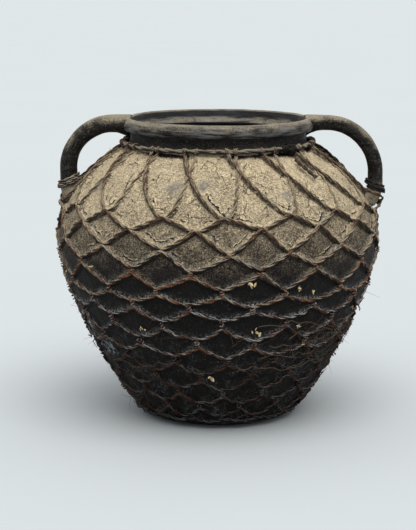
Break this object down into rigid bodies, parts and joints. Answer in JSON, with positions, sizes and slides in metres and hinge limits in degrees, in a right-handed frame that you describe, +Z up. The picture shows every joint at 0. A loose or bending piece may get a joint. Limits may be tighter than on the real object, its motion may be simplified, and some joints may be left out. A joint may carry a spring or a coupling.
{
  "type": "clay pot in wire net",
  "caption": "Round black clay water pot with a short neck, rolled rim and two side handles, held in a looped wire net and caked with dried mud and soot.",
  "frame": {"origin": "centre of the flat foot, on the surface the pot stands on", "axes": "+Z up along the pot's axis, the two handles at -X and +X, -Y towards the viewer in front"},
  "size_m": [0.3346, 0.3316, 0.302],
  "materials": {
    "black_clay": "smoke-fired black clay, matt to dull sheen, tan dust on upward faces",
    "dried_mud": "dry cracked mud, rough and flaky",
    "soot_crust": "sooty fibrous crust, mostly matt with a few glossy patches",
    "muddy_wire": "iron wire under a film of dried mud",
    "rusty_wire": "rusty twisted iron wire, orange brown",
    "dark_wire": "sooty iron wire with grey and rust patches",
    "straw": "pale dry straw",
    "root": "dry dark root fibre"
  },
  "bodies": {
    "root": {"pot_body": "black_clay", "neck_collar": "black_clay", "rim_coil": "black_clay", "handle_left": "black_clay", "handle_right": "black_clay", "mud_coat": "dried_mud", "soot_coat": "soot_crust", "neck_wire": "muddy_wire", "neck_wire_knot": "dark_wire", "net_row_01": "muddy_wire", "net_row_02": "muddy_wire", "net_row_03": "muddy_wire", "net_row_04": "rusty_wire", "net_row_05": "rusty_wire", "net_row_06": "rusty_wire", "net_row_07": "rusty_wire", "net_row_08": "dark_wire", "net_row_09": "dark_wire", "net_row_10": "dark_wire", "net_row_11": "dark_wire", "net_row_12": "dark_wire", "net_row_13": "rusty_wire", "base_wire": "rusty_wire", "handle_tie_left": "dark_wire", "handle_tie_right": "dark_wire", "net_splice": "muddy_wire", "straw_flakes": "straw", "root_fibres": "root"}
  },
  "joints": []
}
